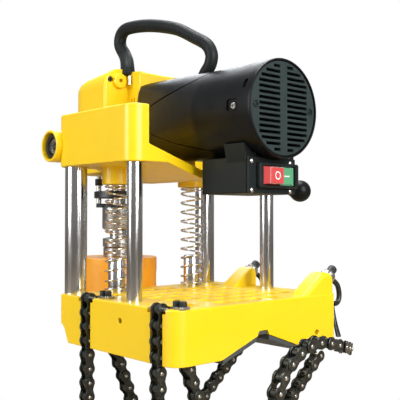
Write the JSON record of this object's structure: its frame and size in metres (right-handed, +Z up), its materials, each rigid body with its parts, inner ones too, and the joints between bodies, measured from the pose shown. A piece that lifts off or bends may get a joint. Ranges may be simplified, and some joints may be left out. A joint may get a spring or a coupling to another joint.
{
  "type": "pipe hole cutting machine",
  "caption": "Portable hole saw machine chained on a pipe: a motor and gearbox head slides on columns over a V-shaped base, fed by a lever.",
  "frame": {"origin": "on the axis of the pipe that the machine is clamped on, level with the middle of the base's length", "axes": "+X along the pipe towards the vented end of the motor, +Y towards the feed lever, +Z up through the columns"},
  "size_m": [0.4877, 0.3772, 0.6386],
  "materials": {
    "black_plastic": "fine-grained moulded plastic",
    "black_rubber": "soft satin grip",
    "brass": "plain bearing bronze",
    "bright_steel": "machined and zinc plated",
    "chain_steel": "dark, oily roller chain",
    "chrome_steel": "ground and plated",
    "copper": "varnished copper windings on laminated steel",
    "dark_steel": "oil-blackened",
    "green_plastic": "moulded, glossy",
    "orange_paint": "orange enamel",
    "red_plastic": "moulded, glossy",
    "yellow_paint": "smooth enamel with a slight orange peel"
  },
  "bodies": {
    "base_frame": {"base": "yellow_paint", "v_pad_near": "black_plastic", "v_pad_far": "black_plastic", "rack_column_near": "chrome_steel", "rack_column_far": "chrome_steel", "guide_column_near": "chrome_steel", "guide_column_far": "chrome_steel", "spring_post_near": "bright_steel", "spring_post_far": "bright_steel", "spring_near": "bright_steel", "spring_far": "bright_steel", "chain_1_load": "chain_steel", "chain_2_load": "chain_steel", "chain_2_slack": "chain_steel", "edge_pin_1": "bright_steel", "edge_pin_2": "bright_steel", "guard_plate_1": "bright_steel", "guard_plate_2": "bright_steel", "tension_collar_1": "bright_steel", "tension_collar_2": "bright_steel", "tension_hook_1": "dark_steel", "tension_hook_2": "dark_steel"},
    "head": {"head_bracket": "yellow_paint", "gearbox_cover": "yellow_paint", "rack_bush_near": "brass", "rack_bush_far": "brass", "guide_bush_near": "brass", "guide_bush_far": "brass", "spindle_bearing_lower": "bright_steel", "spindle_bearing_upper": "bright_steel", "motor_housing": "black_plastic", "motor_front_cover": "black_plastic", "vent_grille": "black_plastic", "stator": "copper", "front_end_shield": "dark_steel", "rear_end_shield": "dark_steel", "carry_handle": "black_rubber", "switch_box": "black_plastic", "switch_plate": "black_plastic", "switch_block": "black_plastic"},
    "spindle_group": {"spindle": "bright_steel", "spindle_flange": "dark_steel", "serrated_ring": "dark_steel", "arbor_collar": "bright_steel", "hole_saw": "orange_paint", "pilot_drill": "bright_steel", "crown_gear": "bright_steel"},
    "counter_group": {"countershaft": "bright_steel"},
    "rotor": {"armature": "copper", "fan": "black_plastic"},
    "feed": {"feed_pinion": "bright_steel", "feed_lever": "dark_steel", "lever_ball": "black_plastic"},
    "stop_button": {"red_button": "red_plastic"},
    "start_button": {"green_button": "green_plastic"},
    "tail_1": {"chain_1_tail": "chain_steel"},
    "tail_2": {"chain_2_tail": "chain_steel"},
    "screw_1": {"tension_screw_1": "dark_steel"},
    "screw_2": {"tension_screw_2": "dark_steel"}
  },
  "joints": [
    {"name": "head_feed", "type": "slide", "parent": "base_frame", "child": "head", "axis": [0, 0, -1], "range_m": [0, 0.1], "stiffness_N_per_m": 3000, "springref_m": -0.09, "deforming": ["spring_near", "spring_far"]},
    {"name": "feed_turn", "type": "hinge", "parent": "head", "child": "feed", "pos_m": [-0.152, 0, 0.336], "axis": [0, 1, 0], "range_deg": [-478, 0]},
    {"name": "spindle_spin", "type": "hinge", "parent": "head", "child": "spindle_group", "pos_m": [-0.199, 0, 0.3], "axis": [0, 0, 1], "continuous": true},
    {"name": "countershaft_spin", "type": "hinge", "parent": "head", "child": "counter_group", "pos_m": [-0.1, 0, 0.4018], "axis": [1, 0, 0], "continuous": true},
    {"name": "armature_spin", "type": "hinge", "parent": "head", "child": "rotor", "pos_m": [0.05, 0, 0.371], "axis": [1, 0, 0], "continuous": true},
    {"name": "stop_press", "type": "slide", "parent": "head", "child": "stop_button", "axis": [-1, 0, 0], "range_m": [0, 0.003], "stiffness_N_per_m": 400},
    {"name": "start_press", "type": "slide", "parent": "head", "child": "start_button", "axis": [-1, 0, 0], "range_m": [0, 0.002], "stiffness_N_per_m": 400},
    {"name": "chain_1_swing", "type": "hinge", "parent": "base_frame", "child": "tail_1", "pos_m": [-0.062, -0.146, 0.1205], "axis": [1, 0, 0], "range_deg": [-70, 0]},
    {"name": "chain_2_swing", "type": "hinge", "parent": "base_frame", "child": "tail_2", "pos_m": [0.0935, -0.146, 0.1205], "axis": [1, 0, 0], "range_deg": [-70, 0]},
    {"name": "screw_1_turn", "type": "hinge", "parent": "base_frame", "child": "screw_1", "pos_m": [-0.042, 0.155, 0.1465], "axis": [0, 0.766, 0.6428], "continuous": true},
    {"name": "screw_2_turn", "type": "hinge", "parent": "base_frame", "child": "screw_2", "pos_m": [0.1135, 0.155, 0.1465], "axis": [0, 0.766, 0.6428], "continuous": true}
  ],
  "couplings": [
    {"joint": "feed_turn", "follows": "head_feed", "rad_per_m": -83.333},
    {"joint": "countershaft_spin", "follows": "spindle_spin", "ratio": 6},
    {"joint": "armature_spin", "follows": "spindle_spin", "ratio": -36}
  ]
}
